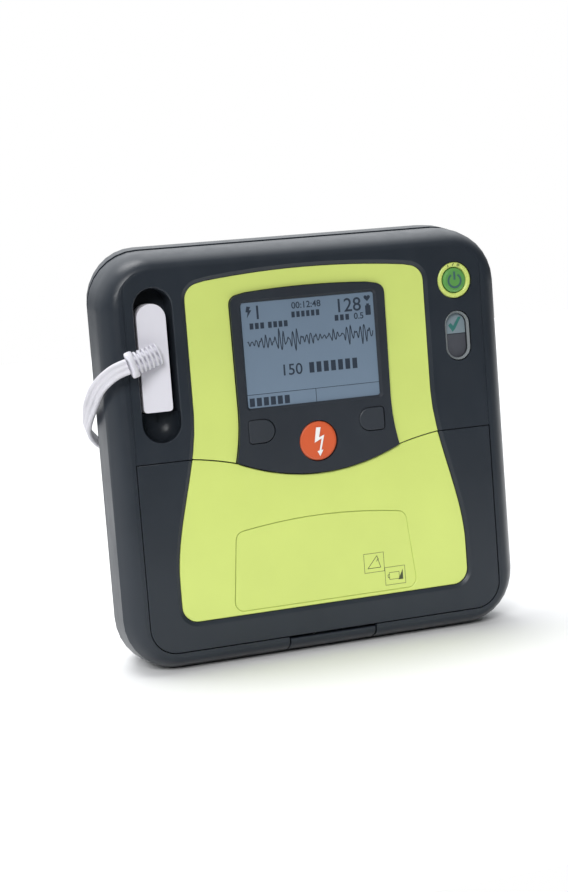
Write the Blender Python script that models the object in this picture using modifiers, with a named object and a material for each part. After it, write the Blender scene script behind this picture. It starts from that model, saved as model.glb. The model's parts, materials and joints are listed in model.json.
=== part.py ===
"""Portable defibrillator with a flip-up battery door, a push latch, keys and a plug-in electrode lead.

Sizes are in millimetres and MM turns them into metres. +X is to the right seen from the front, the
front faces -Y, and +Z is up. The origin is on the floor, under the middle of the body.
"""

import math

import bmesh
import bpy
from mathutils import Matrix, Vector

MM = 0.001
GAP = 0.3  # between neighbouring pieces
SEAM = 0.5  # round the door
STEP_R = 0.45  # of the groove that goes on from the door's seams

# Case
HALF_W = 118.4
SPLIT_TOP = 231.8  # top of the case at the parting line
CORNER_R = 30.0
WALL = 2.6
FRONT_Y = -37.0  # dark front face
WALL_BACK_Y = -32.3  # inside of the front wall
CREASE_Y = -27.0
SPLIT_Y = -9.8  # middle of the parting line
SPLIT_HALF = 0.5
BACK_Y = 36.8
FEET_Y = 38.0
FRONT_INSET = (10.6, 8.2, 10.9)  # of the front face's edge: sides, bottom, top
CREASE_INSET = (0.5, 1.4)  # sides, bottom
BACK_SECTIONS = (  # y, side inset, bottom inset, top height
    (-9.3, 0.1, 0.0, 232.6),
    (-2.0, 1.7, 0.0, 233.7),
    (6.0, 4.4, 0.0, 234.0),
    (14.0, 7.3, 0.0, 233.3),
    (22.0, 10.2, 0.0, 231.0),
    (29.0, 14.0, 1.5, 226.8),
    (34.0, 18.5, 5.0, 221.0),
    (36.8, 25.0, 11.0, 213.5),
)

# Lime panel, in the upper case and in the door
LIME_Y = -36.0
LIME_T = 1.4
LIME_FLOOR_Y = -34.3
LIME_LIP = 2.4
LIME_TOP = 216.0
LIME_TOP_DROP = 3.4  # at LIME_SHOULDER_X
LIME_SHOULDER_X = 60.0
LIME_HALF_TOP = 70.4
LIME_HALF_BOTTOM = 86.0
LIME_FLARE_Z = (142.0, 50.0)
LIME_BOTTOM = 26.7
LIME_CORNER_R = 9.0

# Door
DOOR_HALF = 105.2
DOOR_TOP = 116.8
DOOR_BOTTOM = 11.1
DOOR_CORNER_R = 15.0
DOOR_FLAT_X = 74.0  # the top edge is level outside this
LABEL = (-52.0, 29.0, 50.0, 73.4)
LABEL_LEAN = 3.4  # how much farther out its sides stand at the bottom
LABEL_ARCH = 3.6  # rise of its top edge
LABEL_R = 5.0
DOOR_AXIS = (0.0, -37.5, 116.8)
ARM_X = (88.0, 96.0)
ARM_R = (12.3, 15.3)
ARM_ANGLES = (26.0, 110.0)  # from straight down, towards the back

# Screen bezel
BEZEL_Y = -38.0
BEZEL_BACK_Y = -32.8
BEZEL_BOTTOM = 101.3
BEZEL_BOW = 0.0045  # of the bottom edge, per mm
BEZEL_CORNER_X = 48.5
BEZEL_WAIST = (45.1, 140.0)
BEZEL_TOP_X = 45.6
BEZEL_TOP = 205.9
SCREEN = (-39.2, 140.8, 39.2, 199.1)
LENS = (-41.4, 139.0, 41.4, 200.9)
KEY_X = (25.1, 40.4)
KEY_Z = (121.3, 134.4)
SHOCK_Z = 119.0
SHOCK_R = 11.2
KEY_Y = -37.9  # face of the soft keys
SHOCK_Y = -37.3
KEY_BACK_Y = -31.9
LENS_Y = (-36.1, -35.5)

# Right-hand controls
POWER_XZ = (89.6, 201.3)
POWER_RING_R = (7.4, 10.3)
POWER_R = 7.0
RING_Y = (-36.6, -32.8)
READY_XZ = (89.6, 169.8)
READY_SIZE = (15.3, 28.4)

# Pads socket on the left
RECESS = (-99.6, 127.5, -78.1, 211.6)
RECESS_FLOOR_Y = -20.5
RECESS_RIM = 0.6  # width and depth of the sloped edge round the recess
CUP_T = 2.3
PLUG = (-97.9, 144.2, -81.5, 203.1)
PLUG_Y = (-35.0, -24.1)
BOOT_FROM = (-87.4, -37.0, 176.2)
BOOT_TO = (-106.7, -46.2, 171.6)
BOOT_RIBS = 6

# Electrode lead: a flat cord, its coil and the pads it feeds
LEAD_R = 2.1
LEAD_WIDTH = 8.7
LEAD_ROUTE = (
    (-107.7, -46.2, 171.3),
    (-113.9, -44.9, 169.2),
    (-119.0, -40.9, 165.3),
    (-122.9, -35.0, 159.9),
    (-124.4, -28.0, 153.7),
    (-123.9, -17.0, 147.6),
    (-122.4, -5.0, 142.2),
    (-120.0, 8.0, 136.6),
    (-115.0, 22.0, 130.0),
    (-106.5, 35.5, 122.8),
    (-94.5, 44.5, 112.5),
    (-84.5, 49.0, 97.5),
    (-78.5, 53.0, 79.5),
    (-75.8, 58.5, 61.5),
    (-74.9, 67.0, 46.5),
    (-74.6, 78.0, 37.5),
)
COIL_AT = (-30.0, 104.0)
COIL_R = 46.0
COIL_TURNS = 3.31
TAIL_ROUTE = ((-12.0, 152.2, 4.4), (2.0, 151.6, 4.4), (15.0, 149.6, 4.4), (27.6, 148.0, 4.4))
POUCH = (28.0, 60.0, 140.0, 170.0)
POUCH_T = 8.8

# Latch, in the bottom rim
LATCH_X = 0.5
LATCH_HALF = 25.6
LATCH_SIDE_GAP = 0.9
LATCH_TOP = 8.9
LATCH_LIP = (-33.0, 9.6)  # back and top of its raised front edge
LATCH_BACK_Y = -21.0
SPRING_X = 16.0
SPRING_Y = -23.6
SPRING_TURNS = 4
SPRING_R = 2.0

# Inside
WELL = (-62.5, 18.0, 62.5, 97.0)
WELL_Y = (-28.5, 12.0)
PACK = (-57.0, 23.0, 57.0, 92.0)
CHASSIS_Y = (14.0, 16.5)
SCREW_XZ = ((-84.0, 26.0), (84.0, 26.0), (-78.0, 202.0), (78.0, 202.0))
FOOT_XZ = ((-66.0, 40.0), (66.0, 40.0), (-66.0, 190.0), (66.0, 190.0))
SPEAKER_XZ = (0.0, 150.0)

PARTS = bpy.data.collections.new("defibrillator")
CUTTERS = bpy.data.collections.new("cutters")

# name: colour, roughness, metallic
FINISHES = {
    "dark": ((0.045, 0.055, 0.068), 0.42, 0.0),
    "lime": ((0.58, 0.74, 0.14), 0.4, 0.0),
    "bezel": ((0.035, 0.043, 0.055), 0.45, 0.0),
    "glass": ((0.25, 0.33, 0.40), 0.1, 0.0),
    "rubber": ((0.03, 0.03, 0.033), 0.8, 0.0),
    "orange": ((0.75, 0.16, 0.05), 0.4, 0.0),
    "green": ((0.10, 0.42, 0.10), 0.4, 0.0),
    "white": ((0.78, 0.76, 0.80), 0.45, 0.0),
    "steel": ((0.6, 0.6, 0.62), 0.3, 1.0),
    "brass": ((0.7, 0.5, 0.2), 0.3, 1.0),
    "board": ((0.03, 0.18, 0.07), 0.5, 0.0),
    "inner": ((0.12, 0.12, 0.13), 0.6, 0.0),
    "foil": ((0.75, 0.78, 0.8), 0.35, 0.2),
}


def clear_scene():
    for obj in list(bpy.data.objects):
        bpy.data.objects.remove(obj, do_unlink=True)
    for group in (PARTS, CUTTERS):
        bpy.context.scene.collection.children.link(group)


def finish(name):
    """The material of this finish, made on its first use."""
    found = bpy.data.materials.get(name)
    if found:
        return found
    colour, roughness, metallic = FINISHES[name]
    made = bpy.data.materials.new(name)
    made.use_nodes = True
    shader = made.node_tree.nodes["Principled BSDF"]
    shader.inputs["Base Color"].default_value = (*colour, 1.0)
    shader.inputs["Roughness"].default_value = roughness
    shader.inputs["Metallic"].default_value = metallic
    return made


def add_mesh(name, mesh, look):
    """Puts a mesh in the scene as a part, or as a cutter if it has no finish."""
    obj = bpy.data.objects.new(name, mesh)
    if look is None:
        CUTTERS.objects.link(obj)
        obj.hide_render = True
        obj.display_type = "WIRE"
        return obj
    PARTS.objects.link(obj)
    mesh.materials.append(finish(look))
    mesh.shade_smooth()
    mesh.set_sharp_from_angle(angle=math.radians(35))
    return obj


def mesh_of(bm, name):
    bmesh.ops.recalc_face_normals(bm, faces=bm.faces)
    mesh = bpy.data.meshes.new(name)
    bm.to_mesh(mesh)
    bm.free()
    return mesh


def mesh_of_curve(name, curve, matrix, look):
    """A curve made into a welded mesh part."""
    guide = bpy.data.objects.new(name + "_guide", curve)
    bpy.context.scene.collection.objects.link(guide)
    graph = bpy.context.evaluated_depsgraph_get()
    mesh = bpy.data.meshes.new_from_object(guide.evaluated_get(graph))
    bm = bmesh.new()
    bm.from_mesh(mesh)
    bmesh.ops.remove_doubles(bm, verts=bm.verts, dist=0.00001)
    bmesh.ops.transform(bm, matrix=matrix, verts=bm.verts)
    bpy.data.objects.remove(guide, do_unlink=True)
    return add_mesh(name, mesh_of(bm, name), look)


def poly_curve(name, points, dimensions, closed=False):
    curve = bpy.data.curves.new(name, "CURVE")
    curve.dimensions = dimensions
    for outline in points:
        spline = curve.splines.new("POLY")
        spline.points.add(len(outline) - 1)
        for target, point in zip(spline.points, outline):
            target.co = (*(value * MM for value in point), 1.0)
        spline.use_cyclic_u = closed
    return curve


# A plate's own x, y and z as world axes: its outline is drawn on the first two
PLANES = {
    "XZ": Matrix(((1, 0, 0, 0), (0, 0, -1, 0), (0, 1, 0, 0), (0, 0, 0, 1))),
    "YZ": Matrix(((0, 0, 1, 0), (1, 0, 0, 0), (0, 1, 0, 0), (0, 0, 0, 1))),
    "XY": Matrix.Identity(4),
}
NORMALS = {"XZ": Vector((0, 1, 0)), "YZ": Vector((1, 0, 0)), "XY": Vector((0, 0, 1))}


def plate(name, outlines, low, high, look, plane="XZ"):
    """A flat piece with this outline (and holes), from low to high across its plane."""
    flat = [[(a, b, 0.0) for a, b in outline] for outline in outlines]
    curve = poly_curve(name, flat, "2D", closed=True)
    curve.fill_mode = "BOTH"
    curve.extrude = (high - low) / 2 * MM
    middle = Matrix.Translation(NORMALS[plane] * ((low + high) / 2 * MM))
    return mesh_of_curve(name, curve, middle @ PLANES[plane], look)


def tube(name, points, radius, look, resolution=2):
    curve = poly_curve(name, [points], "3D")
    curve.bevel_depth = radius * MM
    curve.bevel_resolution = resolution
    curve.use_fill_caps = True
    return mesh_of_curve(name, curve, Matrix.Identity(4), look)


def loft(name, rings, look):
    """A closed skin over rings of points that match one to one."""
    bm = bmesh.new()
    loops = [[bm.verts.new(Vector(point) * MM) for point in ring] for ring in rings]
    count = len(loops[0])
    for near, far in zip(loops, loops[1:]):
        for i in range(count):
            j = (i + 1) % count
            bm.faces.new((near[i], near[j], far[j], far[i]))
    bm.faces.new(loops[0])
    bm.faces.new(loops[-1])
    return add_mesh(name, mesh_of(bm, name), look)


def block(name, low, high, look, rounding=0.0):
    """A box between two corners."""
    low, high = Vector(low) * MM, Vector(high) * MM
    bm = bmesh.new()
    bmesh.ops.create_cube(bm, size=1.0)
    bmesh.ops.scale(bm, vec=high - low, verts=bm.verts)
    bmesh.ops.translate(bm, vec=(low + high) / 2, verts=bm.verts)
    obj = add_mesh(name, mesh_of(bm, name), look)
    if rounding:
        soften(obj, rounding)
    return obj


def drum(name, centre, axis, radius, length, look, sides=32):
    """A cylinder from its middle, radius and length."""
    bm = bmesh.new()
    bmesh.ops.create_cone(
        bm, cap_ends=True, segments=sides, radius1=radius * MM, radius2=radius * MM, depth=length * MM
    )
    turn = Vector((0, 0, 1)).rotation_difference(Vector(axis)).to_matrix().to_4x4()
    bmesh.ops.transform(bm, matrix=Matrix.Translation(Vector(centre) * MM) @ turn, verts=bm.verts)
    return add_mesh(name, mesh_of(bm, name), look)


def turned(name, centre, profile, look, sides=20):
    """A turned piece: profile is (radius, y) from its front end to its back end, about a Y axis."""
    mesh = bpy.data.meshes.new(name)
    points = [(radius * MM, 0.0, -y * MM) for radius, y in profile]
    mesh.from_pydata(points, [(i, i + 1) for i in range(len(points) - 1)], [])
    guide = bpy.data.objects.new(name + "_guide", mesh)
    bpy.context.scene.collection.objects.link(guide)
    screw = guide.modifiers.new("turn", "SCREW")
    screw.steps = sides
    screw.render_steps = sides
    screw.use_merge_vertices = True
    screw.merge_threshold = 0.00001
    graph = bpy.context.evaluated_depsgraph_get()
    bm = bmesh.new()
    bm.from_mesh(bpy.data.meshes.new_from_object(guide.evaluated_get(graph)))
    stand = Matrix.Translation(Vector(centre) * MM) @ Matrix.Rotation(math.radians(90), 4, "X")
    bmesh.ops.transform(bm, matrix=stand, verts=bm.verts)
    bpy.data.objects.remove(guide, do_unlink=True)
    return add_mesh(name, mesh_of(bm, name), look)


def soften(obj, width, angle=40.0, segments=2):
    bevel = obj.modifiers.new("soften", "BEVEL")
    bevel.width = width * MM
    bevel.segments = segments
    bevel.limit_method = "ANGLE"
    bevel.angle_limit = math.radians(angle)


def cut(obj, tool):
    change(obj, tool, "DIFFERENCE")


def join(obj, tool):
    change(obj, tool, "UNION")


def change(obj, tool, operation):
    boolean = obj.modifiers.new(operation.lower(), "BOOLEAN")
    boolean.operation = operation
    boolean.solver = "EXACT"
    boolean.object = tool


def pivot(name, at, pieces):
    """An empty at a joint, holding the pieces that move on it."""
    empty = bpy.data.objects.new(name, None)
    empty.location = Vector(at) * MM
    PARTS.objects.link(empty)
    for piece in pieces:
        piece.parent = empty
        piece.matrix_parent_inverse = Matrix.Translation(-empty.location)


def arc(centre, radius, start, end, steps):
    """Points on an arc, angles in degrees."""
    angles = [math.radians(start + (end - start) * i / steps) for i in range(steps + 1)]
    return [(centre[0] + radius * math.cos(a), centre[1] + radius * math.sin(a)) for a in angles]


def circle(centre, radius, steps=32):
    return arc(centre, radius, 0, 360 - 360 / steps, steps - 1)


def rounded(x0, z0, x1, z1, radius, steps=6):
    """A rectangle with round corners, counter-clockwise from the lower right."""
    return (
        arc((x1 - radius, z0 + radius), radius, -90, 0, steps)
        + arc((x1 - radius, z1 - radius), radius, 0, 90, steps)
        + arc((x0 + radius, z1 - radius), radius, 90, 180, steps)
        + arc((x0 + radius, z0 + radius), radius, 180, 270, steps)
    )


def grown(box, by):
    return (box[0] - by, box[1] - by, box[2] + by, box[3] + by)


def stadium(box, steps=12):
    """An upright slot outline with half-round ends."""
    radius = (box[2] - box[0]) / 2
    middle = (box[0] + box[2]) / 2
    return arc((middle, box[3] - radius), radius, 0, 180, steps) + arc(
        (middle, box[1] + radius), radius, 180, 360, steps
    )


def offset(outline, by):
    """A counter-clockwise outline moved outwards."""
    moved = []
    for i, (x, z) in enumerate(outline):
        before = Vector(outline[i - 1])
        after = Vector(outline[(i + 1) % len(outline)])
        here = Vector((x, z))
        first = (here - before).normalized()
        second = (after - here).normalized()
        out = Vector((first.y + second.y, -first.x - second.x)).normalized()
        reach = by / max(out.dot(Vector((first.y, -first.x))), 0.5)
        moved.append((x + out.x * reach, z + out.y * reach))
    return moved


def case_ring(y, side, bottom, top_z, radius):
    half = HALF_W - side
    return [(x, y, z) for x, z in rounded(-half, bottom, half, top_z, radius, steps=8)]


def front_insets(y):
    """Side, bottom and top insets of the front case at this depth.

    The sides and the bottom are a convex bevel, then a drafted band. The top is one elliptical curve.
    """
    if y <= CREASE_Y:
        share = math.sqrt((y - FRONT_Y) / (CREASE_Y - FRONT_Y))
        low = [a + (b - a) * share for a, b in zip(FRONT_INSET, CREASE_INSET)]
    else:
        share = (SPLIT_Y - SPLIT_HALF - y) / (SPLIT_Y - SPLIT_HALF - CREASE_Y)
        low = [a * share for a in CREASE_INSET]
    turn = (SPLIT_Y - SPLIT_HALF - y) / (SPLIT_Y - SPLIT_HALF - FRONT_Y)
    return [*low, FRONT_INSET[2] * (1 - math.sqrt(max(1 - turn * turn, 0.0)))]


def front_rings(depths, wall):
    rings = []
    for y in depths:
        side, bottom, top = (value + wall for value in front_insets(y))
        rings.append(case_ring(y, side, bottom, SPLIT_TOP - top, CORNER_R - 0.85 * side))
    return rings


def smooth_route(points, spacing):
    """Points at even spacing along a smooth curve through these points."""
    points = [Vector(point) for point in points]
    ends = [2 * points[0] - points[1], *points, 2 * points[-1] - points[-2]]
    fine = []
    for a, b, c, d in zip(ends, ends[1:], ends[2:], ends[3:]):
        for step in range(20):
            t = step / 20
            bend = (2 * a - 5 * b + 4 * c - d) * t * t
            twist = (3 * b - a - 3 * c + d) * t**3
            fine.append(0.5 * (2 * b + (c - a) * t + bend + twist))
    fine.append(points[-1])
    lengths = [0.0]
    for near, far in zip(fine, fine[1:]):
        lengths.append(lengths[-1] + (far - near).length)
    count = max(2, round(lengths[-1] / spacing))
    wanted = [lengths[-1] * i / count for i in range(count + 1)]
    route = []
    at = 0
    for length in wanted:
        while at < len(fine) - 2 and lengths[at + 1] < length:
            at += 1
        share = (length - lengths[at]) / (lengths[at + 1] - lengths[at])
        route.append(tuple(fine[at].lerp(fine[at + 1], share)))
    return route


def seam_z(x):
    """Height of the line between the upper case and the door."""
    x = abs(x)
    if x < BEZEL_CORNER_X:
        return BEZEL_BOTTOM + BEZEL_BOW * x * x
    inward = max(DOOR_FLAT_X - x, 0.0)
    return DOOR_TOP - 0.12 * inward - 0.003 * inward * inward


def seam_line(half, lower, steps=24):
    """The seam from +half to -half, lowered by a gap."""
    xs = [half - 2 * half * i / steps for i in range(steps + 1)]
    return [(x, seam_z(x) - lower) for x in xs]


def lime_half_width(z):
    share = min(max((LIME_FLARE_Z[0] - z) / (LIME_FLARE_Z[0] - LIME_FLARE_Z[1]), 0.0), 1.0)
    return LIME_HALF_TOP + (LIME_HALF_BOTTOM - LIME_HALF_TOP) * share * share * (3 - 2 * share)


def lime_side(top, bottom, steps=12):
    """The right-hand edge, from bottom to top."""
    heights = [bottom + (top - bottom) * i / steps for i in range(steps + 1)]
    return [(lime_half_width(z), z) for z in heights]


def lime_crown(steps=12):
    """The top edge from right to left, with its round corners."""
    shoulder = LIME_TOP - LIME_TOP_DROP
    corner = arc((LIME_HALF_TOP - LIME_CORNER_R, shoulder - LIME_CORNER_R - 0.6), LIME_CORNER_R, 0, 78, 8)
    arch = []
    for i in range(steps + 1):
        x = (LIME_SHOULDER_X - 1.5) * (1 - 2 * i / steps)
        arch.append((x, LIME_TOP - LIME_TOP_DROP * (x / LIME_SHOULDER_X) ** 2))
    return corner + arch + mirrored(corner)


def mirrored(points):
    return [(-x, z) for x, z in reversed(points)]


def lime_foot():
    """The bottom edge from left to right, with its round corners."""
    centre = (LIME_HALF_BOTTOM - LIME_CORNER_R, LIME_BOTTOM + LIME_CORNER_R)
    corner = arc(centre, LIME_CORNER_R, -90, 0, 8)
    return mirrored(corner) + corner


def lime_outline():
    """The whole panel, counter-clockwise."""
    side = lime_side(LIME_TOP - LIME_TOP_DROP - LIME_CORNER_R - 1.5, LIME_BOTTOM + LIME_CORNER_R + 2, 16)
    return lime_foot() + side + lime_crown() + mirrored(side)


def bezel_outline():
    """The screen bezel: bowed at the bottom and the top, waisted at the sides."""
    right = []
    corner_z = seam_z(BEZEL_CORNER_X - 0.01)
    right += [(BEZEL_CORNER_X - 1.2, corner_z - 0.6), (BEZEL_CORNER_X - 0.1, corner_z + 0.4)]
    for i in range(1, 7):
        z = corner_z + (BEZEL_WAIST[1] - corner_z) * i / 6
        lean = (BEZEL_WAIST[1] - z) / (BEZEL_WAIST[1] - corner_z)
        right.append((BEZEL_WAIST[0] + (BEZEL_CORNER_X - BEZEL_WAIST[0]) * lean * lean, z))
    right += arc((BEZEL_TOP_X - 5, 198.6), 5.0, 0, 84, 5)
    top = [(36.0 * (1 - i / 4), BEZEL_TOP - 0.00104 * (36.0 * (1 - i / 4)) ** 2) for i in range(4)]
    left = mirrored(top + [(0.0, BEZEL_TOP)])[1:]
    bottom = seam_line(BEZEL_CORNER_X - 3.5, 0.0, 16)[::-1]
    return bottom + right + top + [(0.0, BEZEL_TOP)] + left + mirrored(right)


def door_outline(by=0.0, lower=SEAM):
    """The door: half-round lower corners and the seam as its top edge."""
    half, bottom = DOOR_HALF + by, DOOR_BOTTOM - by
    radius = DOOR_CORNER_R + by
    lower_corner = arc((half - radius, bottom + radius), radius, -90, 0, 8)
    return mirrored(lower_corner) + lower_corner + seam_line(half, lower, 42)


def key_outline(side, by=0.0):
    """A D-shaped key, round towards the middle of the case."""
    radius = (KEY_Z[1] - KEY_Z[0]) / 2
    middle = (KEY_Z[0] + KEY_Z[1]) / 2
    centre = KEY_X[0] + radius
    shape = arc((centre, middle), radius, 90, 270, 10)
    shape += arc((KEY_X[1] - 2, KEY_Z[0] + 2), 2.0, -90, 0, 4)
    shape += arc((KEY_X[1] - 2, KEY_Z[1] - 2), 2.0, 0, 90, 4)
    return offset(shape if side > 0 else mirrored(shape), by)


def lime_pocket():
    """The cutter for the panel's pocket: a sloping lip, then straight walls."""
    outline = lime_outline()
    depths = ((FRONT_Y - 0.4, LIME_LIP + 0.9), (FRONT_Y, LIME_LIP), (LIME_Y, GAP), (LIME_FLOOR_Y, GAP))
    rings = [[(x, y, z) for x, z in offset(outline, by)] for y, by in depths]
    return loft("lime_pocket", rings, None)


def latch_bay():
    half = LATCH_HALF + LATCH_SIDE_GAP
    x0, x1 = LATCH_X - half, LATCH_X + half
    return block("latch_bay", (x0, -40, 1.15), (x1, -26, DOOR_BOTTOM + 4), None)


def front_shell(pocket):
    depths = [FRONT_Y, -36.6, -35.5, -33.5, -31.0, CREASE_Y, -22.5, -18.0, -14.0, SPLIT_Y - SPLIT_HALF]
    shell = loft("front_shell", front_rings(depths, 0.0), "dark")
    hollow = [WALL_BACK_Y, -30.0, CREASE_Y, SPLIT_Y - SPLIT_HALF]
    rings = front_rings(hollow, WALL)
    rings.append([(x, y + 3, z) for x, y, z in rings[-1]])
    cut(shell, loft("front_hollow", rings, None))
    cup = stadium(grown(RECESS, CUP_T))
    join(shell, plate("recess_cup", [cup], WALL_BACK_Y - 0.8, RECESS_FLOOR_Y + 2.2, None))
    cut(shell, plate("recess_hollow", [stadium(RECESS)], FRONT_Y - 2, RECESS_FLOOR_Y, None))
    rim = []
    for y, by in ((FRONT_Y - 0.5, RECESS_RIM + 0.5), (FRONT_Y, RECESS_RIM), (FRONT_Y + RECESS_RIM, 0.0)):
        rim.append([(x, y, z) for x, z in stadium(grown(RECESS, by))])
    cut(shell, loft("recess_rim", rim, None))
    cut(shell, pocket)
    cut(shell, plate("bezel_hole", [offset(bezel_outline(), GAP)], BEZEL_Y - 2, WALL_BACK_Y + 2, None))
    cut(shell, plate("door_hole", [door_outline(SEAM, 0.0)], FRONT_Y - 2, WALL_BACK_Y + 2, None))
    power_hole = circle(POWER_XZ, POWER_RING_R[1] + GAP)
    cut(shell, plate("power_hole", [power_hole], FRONT_Y - 2, WALL_BACK_Y + 2, None))
    cut(shell, plate("ready_hole", [stadium(grown(ready_box(), GAP))], FRONT_Y - 2, WALL_BACK_Y + 2, None))
    cut(shell, latch_bay())
    cut(shell, step_line())


def step_line():
    """A fine groove that carries the door's side seams up round the front face."""
    top, radius = 219.6, 10.0
    right = [(DOOR_HALF, DOOR_TOP - 0.8)] + arc((DOOR_HALF - radius, top - radius), radius, 0, 80, 6)
    line = [(x, FRONT_Y - 0.04, z) for x, z in right]
    groove = tube("step_groove_right", line, STEP_R, None, 1)
    join(groove, tube("step_groove_left", [(-x, y, z) for x, y, z in line], STEP_R, None, 1))
    return groove


def ready_box():
    half_w, half_h = READY_SIZE[0] / 2, READY_SIZE[1] / 2
    return (READY_XZ[0] - half_w, READY_XZ[1] - half_h, READY_XZ[0] + half_w, READY_XZ[1] + half_h)


def rear_shell():
    outer = []
    for y, side, bottom, top in BACK_SECTIONS:
        outer.append(case_ring(y, side, bottom, top, CORNER_R - 0.45 * side))
    shell = loft("rear_shell", outer, "dark")
    inner = [(-11.0, 0.1, 0.0, 232.6), *BACK_SECTIONS[:5]]
    inner += [(29.0, 15.0, 2.5, 226.0), (34.0, 23.5, 10.0, 215.0)]
    rings = []
    for y, side, bottom, top in inner:
        rings.append(case_ring(y, side + WALL, bottom + WALL, top - WALL, CORNER_R - 0.45 * (side + WALL)))
    cut(shell, loft("rear_hollow", rings, None))
    for i, (x, z) in enumerate(SCREW_XZ):
        join(shell, drum(f"boss_{i}", (x, 27.0, z), (0, 1, 0), 4.6, 15.6, None, 20))
        cut(shell, drum(f"boss_bore_{i}", (x, 28.0, z), (0, 1, 0), 1.9, 26.0, None, 16))
        cut(shell, drum(f"boss_counterbore_{i}", (x, 38.0, z), (0, 1, 0), 3.6, 9.0, None, 20))
    for i, (x, z) in enumerate(FOOT_XZ):
        cut(shell, drum(f"foot_seat_{i}", (x, BACK_Y + 2.0, z), (0, 1, 0), 7.3, 5.6, None, 28))
    for i in range(5):
        z = SPEAKER_XZ[1] + (i - 2) * 5.0
        half = 12.0 - 1.6 * abs(i - 2)
        slot = rounded(-half, z - 1.0, half, z + 1.0, 0.95, 2)
        cut(shell, plate(f"sound_slot_{i}", [slot], 30.0, 40.0, None))


def seal_gasket():
    rings = []
    for inset in (0.7, WALL - 0.2):
        half = HALF_W - inset
        rings.append(rounded(-half, inset, half, SPLIT_TOP - inset, CORNER_R - inset, steps=8))
    plate("seal_gasket", rings, SPLIT_Y - 0.2, SPLIT_Y + 0.2, "rubber")


def upper_panel():
    """The lime panel above the door, round the bezel."""
    bottom = [(x, z + 0.1) for x, z in reversed(seam_line(lime_half_width(DOOR_TOP), 0.0, 30))]
    side = lime_side(LIME_TOP - LIME_TOP_DROP - LIME_CORNER_R - 1.5, DOOR_TOP + 3, 8)
    outline = bottom + side + lime_crown() + mirrored(side)
    panel = plate("upper_panel", [outline], LIME_Y, LIME_Y + LIME_T, "lime")
    hole = offset(bezel_outline(), GAP)
    cut(panel, plate("panel_hole", [hole], BEZEL_Y - 2, WALL_BACK_Y + 3, None))


def screen_bezel():
    shape = bezel_outline()
    holes = [rounded(*SCREEN, 1.5, 3), circle((0.0, SHOCK_Z), SHOCK_R + GAP)]
    bezel = plate("screen_bezel", [shape, *holes], BEZEL_Y, BEZEL_BACK_Y, "bezel")
    for side in (1, -1):
        hole = key_outline(side, GAP)
        cut(bezel, plate(f"key_hole_{side + 1}", [hole], BEZEL_Y - 2, BEZEL_BACK_Y + 2, None))
    pocket = rounded(*grown(LENS, GAP), 1.5, 3)
    cut(bezel, plate("lens_pocket", [pocket], LENS_Y[0] - GAP, BEZEL_BACK_Y + 2, None))


def display_parts():
    plate("display_window", [rounded(*LENS, 1.5, 3)], *LENS_Y, "glass")
    block("display_module", (-41.2, LENS_Y[1] + GAP, 139.2), (41.2, -28.5, 200.7), "inner")
    plate("display_board", [rounded(-47.0, 103.0, 47.0, 206.0, 2.0, 2)], -27.9, -26.3, "board")
    plate("keypad_mat", [rounded(-44.0, 104.5, 44.0, 137.0, 3.0, 2)], -30.4, -28.8, "rubber")


def cap_profile(radius, face):
    """A round key with a softly domed edge, for turned()."""
    dome = [(0.0, face), (radius - 1.3, face + 0.1), (radius - 0.35, face + 0.4), (radius, face + 0.9)]
    return [*dome, (radius, KEY_BACK_Y), (0.0, KEY_BACK_Y)]


def keys():
    left = plate("softkey_left", [key_outline(-1)], KEY_Y, KEY_BACK_Y, "bezel")
    right = plate("softkey_right", [key_outline(1)], KEY_Y, KEY_BACK_Y, "bezel")
    shock = turned("shock_button", (0, 0, SHOCK_Z), cap_profile(SHOCK_R, SHOCK_Y), "orange", 36)
    bolt = [(1.2, 6.6), (-3.2, -0.6), (-0.2, -0.6), (-1.2, -6.6), (3.2, 1.6), (0.2, 1.6), (3.0, 6.6)]
    outline = [(x, z + SHOCK_Z) for x, z in bolt]
    symbol = plate("shock_symbol", [outline], SHOCK_Y - GAP - 0.35, SHOCK_Y - GAP, "white")
    pivot("softkey_left_axis", (-33, -34, 128), [left])
    pivot("softkey_right_axis", (33, -34, 128), [right])
    pivot("shock_axis", (0, -34, SHOCK_Z), [shock, symbol])


def power_controls():
    rings = [circle(POWER_XZ, radius) for radius in reversed(POWER_RING_R)]
    plate("power_ring", rings, *RING_Y, "lime")
    x, z = POWER_XZ
    button = turned("power_button", (x, 0, z), cap_profile(POWER_R, RING_Y[0] - 0.6), "green", 32)
    pivot("power_axis", (x, -34, z), [button])
    plate("ready_window", [stadium(ready_box())], RING_Y[0], RING_Y[0] + 1.4, "glass")
    x, z = READY_XZ
    block("ready_indicator", (x - 6.4, KEY_BACK_Y, z - 13), (x + 6.4, -28.4, z + 13), "inner")
    plate("switch_board", [rounded(76.5, 150.0, 104.0, 214.0, 3.0, 2)], -28.0, -26.4, "board")


def pads_socket():
    box = (PLUG[0] - 0.2, PLUG[1] + 2, PLUG[2] + 1.6, PLUG[3] - 1)
    plate("pads_socket", [rounded(*box, 5.0, 4)], PLUG_Y[1] + GAP, RECESS_FLOOR_Y - GAP, "inner")


def pads_plug():
    x0, z0, x1, z1 = PLUG
    middle, radius = (x0 + x1) / 2, (x1 - x0) / 2
    outline = arc((middle, z1 - radius), radius, 0, 180, 16)
    outline += arc((x0 + 2, z0 + 2), 2.0, 180, 270, 4) + arc((x1 - 2, z0 + 2), 2.0, 270, 360, 4)
    plug = plate("pads_connector", [outline], *PLUG_Y, "white")
    soften(plug, 0.9, 60.0)
    relief = strain_relief()
    pivot("pads_plug_axis", (middle, -30, 176), [plug, relief])


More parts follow.
